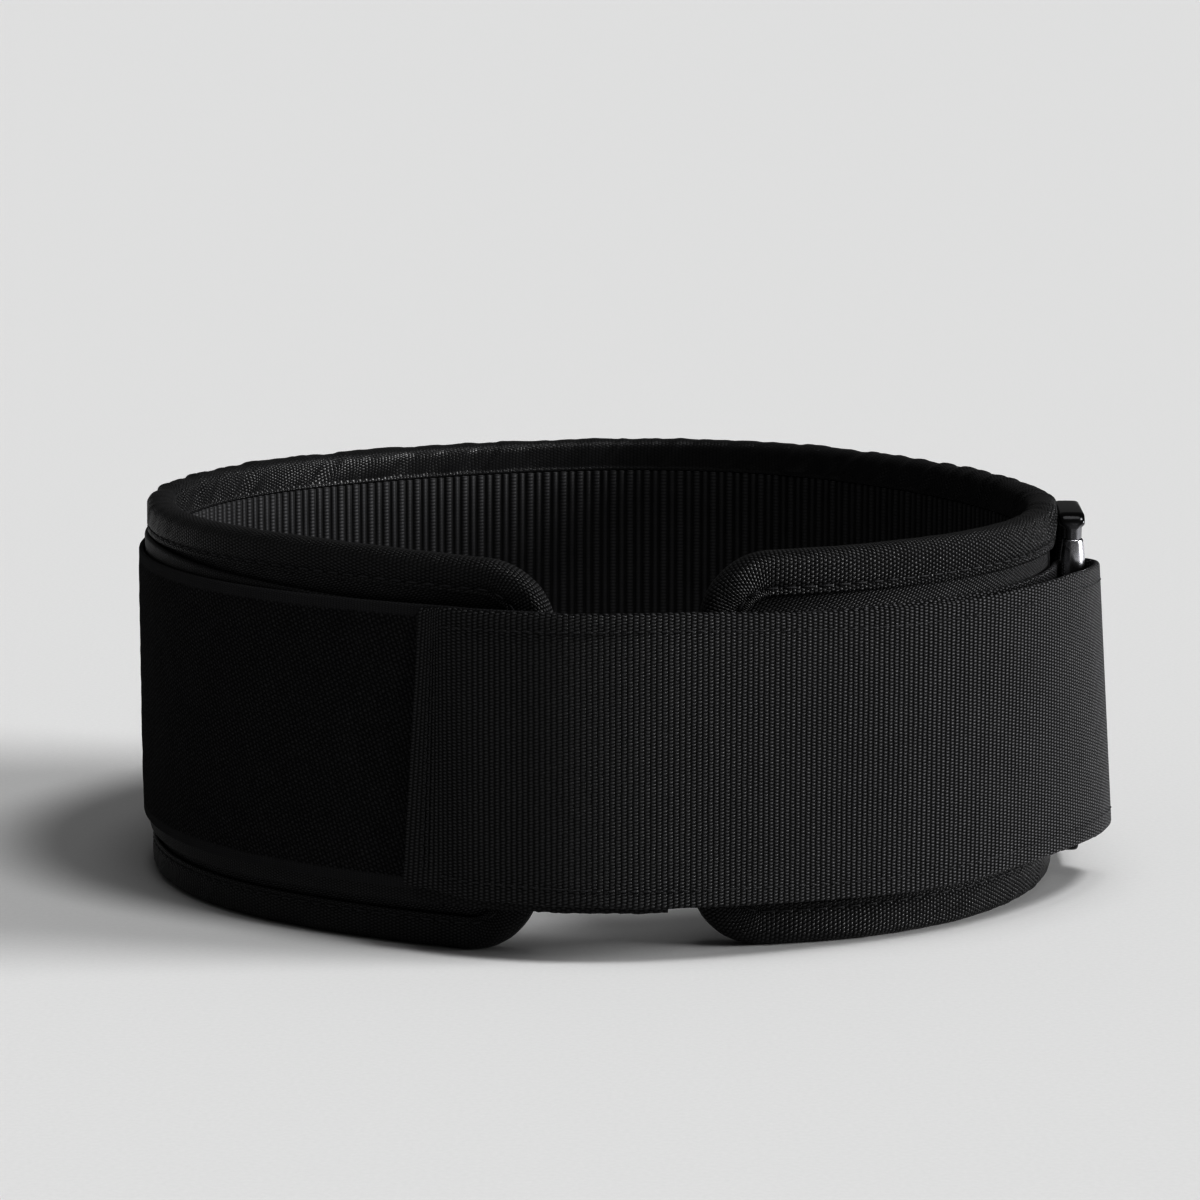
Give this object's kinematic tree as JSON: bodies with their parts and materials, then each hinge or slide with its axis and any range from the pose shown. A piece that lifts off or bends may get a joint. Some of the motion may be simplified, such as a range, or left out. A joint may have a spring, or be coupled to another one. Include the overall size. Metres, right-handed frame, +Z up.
{
  "type": "weightlifting belt",
  "caption": "Padded fabric lifting belt, fastened: a bound foam panel with a ribbed lining, wide webbing with hook and loop tape, and a metal roller buckle at the side.",
  "frame": {"origin": "below the middle of the belt's box, on the surface it stands on", "axes": "+Z up, along the waist's axis; +Y to the back of the belt; +X to the side with the buckle"},
  "size_m": [0.2644, 0.2432, 0.1016],
  "materials": {
    "cover_cloth": "plain woven nylon, matt black",
    "lining_cloth": "ribbed woven lining, matt black",
    "binding_cloth": "plain woven nylon rolled round the edge, slight sheen on its back",
    "base_webbing": "tight nylon webbing, matt black",
    "loop_pile": "short napped pile, very matt black",
    "strap_webbing": "heavy nylon webbing with raised columns, low sheen",
    "hook_tape": "moulded hooks on tape, matt black",
    "dark_metal": "black, polished",
    "bright_metal": "bright, polished"
  },
  "bodies": {
    "root": {"panel_core": "cover_cloth", "inner_lining": "lining_cloth", "edge_binding": "binding_cloth", "base_webbing": "base_webbing", "loop_tape": "loop_pile", "closing_strap": "strap_webbing", "hook_tape": "hook_tape", "buckle_frame": "dark_metal", "buckle_roller": "bright_metal"}
  },
  "joints": []
}
